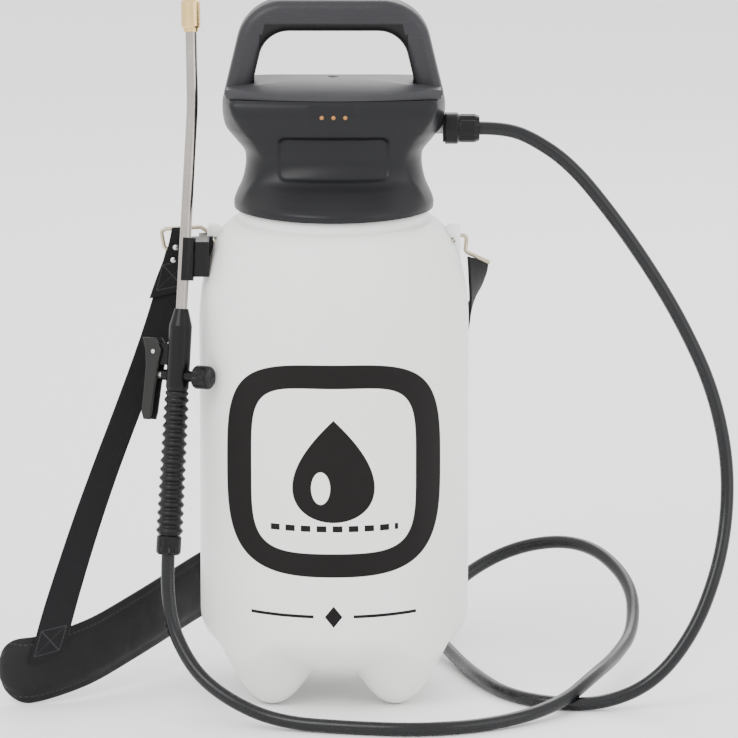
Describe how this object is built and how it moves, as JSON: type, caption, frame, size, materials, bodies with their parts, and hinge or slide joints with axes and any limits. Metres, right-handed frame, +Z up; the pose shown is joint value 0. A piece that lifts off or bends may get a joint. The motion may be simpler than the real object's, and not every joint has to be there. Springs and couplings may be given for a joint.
{
  "type": "pump sprayer",
  "caption": "Hand-pumped garden pressure sprayer: footed tank, lid with D-handle pump, hose, trigger lance, strap and shoulder pad.",
  "frame": {"origin": "tank axis at the ground, between the four feet", "axes": "+Z up along the tank; -Y is the front; +X is the side the hose leaves the lid from"},
  "size_m": [0.5207, 0.3422, 0.497],
  "materials": {
    "milky_plastic": "translucent, satin",
    "black_plastic": "fine-grained satin",
    "handle_plastic": "fine-grained satin",
    "grip_plastic": "satin",
    "lever_plastic": "satin",
    "knob_plastic": "satin",
    "pump_plastic": "satin",
    "seal_rubber": "matte",
    "hose_rubber": "gloss",
    "steel": "bright",
    "tube_steel": "drawn, satin",
    "hook_wire": "plated",
    "brass": "turned, bright",
    "webbing": "woven",
    "pad_vinyl": "grained, stitched"
  },
  "bodies": {
    "sprayer": {"tank": "milky_plastic", "lid_shell": "black_plastic", "neck_gasket": "seal_rubber", "pump_barrel": "pump_plastic", "foot_valve": "seal_rubber", "rod_guide": "pump_plastic", "outlet_pipe": "pump_plastic", "outlet_seal": "seal_rubber", "hose_nut": "black_plastic", "dip_tube": "pump_plastic", "strainer": "pump_plastic", "relief_body": "black_plastic", "relief_spring": "steel", "lance_hose_nut": "black_plastic", "grip_sleeve": "grip_plastic", "valve_body": "black_plastic", "lance_nut": "black_plastic", "lance_seal": "seal_rubber", "trigger_pin": "steel", "valve_cap": "black_plastic", "valve_spring": "steel", "lance_clip": "black_plastic", "strap_hook_left": "hook_wire", "strap_hook_right": "hook_wire", "strap_left": "webbing", "strap_rear": "webbing", "strap_rivets": "steel", "shoulder_pad": "pad_vinyl", "hose": "hose_rubber"},
    "plunger": {"plunger_head": "pump_plastic", "plunger_cup": "seal_rubber"},
    "pump_handle": {"handle_arch": "handle_plastic", "handle_plate": "handle_plastic", "pump_rod": "steel", "rod_screw": "steel"},
    "trigger": {"trigger_lever": "lever_plastic"},
    "valve_stem": {"valve_plunger": "steel", "valve_seal": "seal_rubber"},
    "lance": {"lance_tube": "tube_steel", "nozzle_body": "brass", "nozzle_seal": "seal_rubber"},
    "nozzle": {"nozzle_cap": "brass"},
    "relief": {"relief_knob": "knob_plastic", "relief_seal": "seal_rubber"}
  },
  "joints": [
    {"name": "pump_stroke", "type": "slide", "parent": "sprayer", "child": "plunger", "axis": [0, 0, 1], "range_m": [0, 0.2]},
    {"name": "handle_turn", "type": "hinge", "parent": "plunger", "child": "pump_handle", "pos_m": [0, 0, 0.43], "axis": [0, 0, 1], "range_deg": [0, 90]},
    {"name": "trigger_squeeze", "type": "hinge", "parent": "sprayer", "child": "trigger", "pos_m": [-0.12388, -0.02973, 0.25126], "axis": [-0.4992, -0.8473, 0.1813], "range_deg": [0, 9], "stiffness_Nm_per_rad": 0.6, "springref_deg": -5.73},
    {"name": "valve_stroke", "type": "slide", "parent": "sprayer", "child": "valve_stem", "axis": [0.8647, -0.5005, 0.0424], "range_m": [0, 0.0026], "deforming": ["valve_spring"]},
    {"name": "lance_turn", "type": "hinge", "parent": "sprayer", "child": "lance", "pos_m": [-0.10514, -0.02842, 0.309], "axis": [0.0548, 0.1779, 0.9825], "continuous": true},
    {"name": "nozzle_turn", "type": "hinge", "parent": "lance", "child": "nozzle", "pos_m": [-0.09883, -0.00796, 0.42199], "axis": [-0.0185, 0.1781, 0.9838], "range_deg": [0, 360]},
    {"name": "relief_pull", "type": "slide", "parent": "sprayer", "child": "relief", "axis": [0, 1, 0], "range_m": [0, 0.004], "stiffness_N_per_m": 600, "springref_m": -0.003, "deforming": ["relief_spring"]}
  ],
  "couplings": [
    {"joint": "valve_stroke", "follows": "trigger_squeeze", "m_per_rad": 0.016}
  ]
}
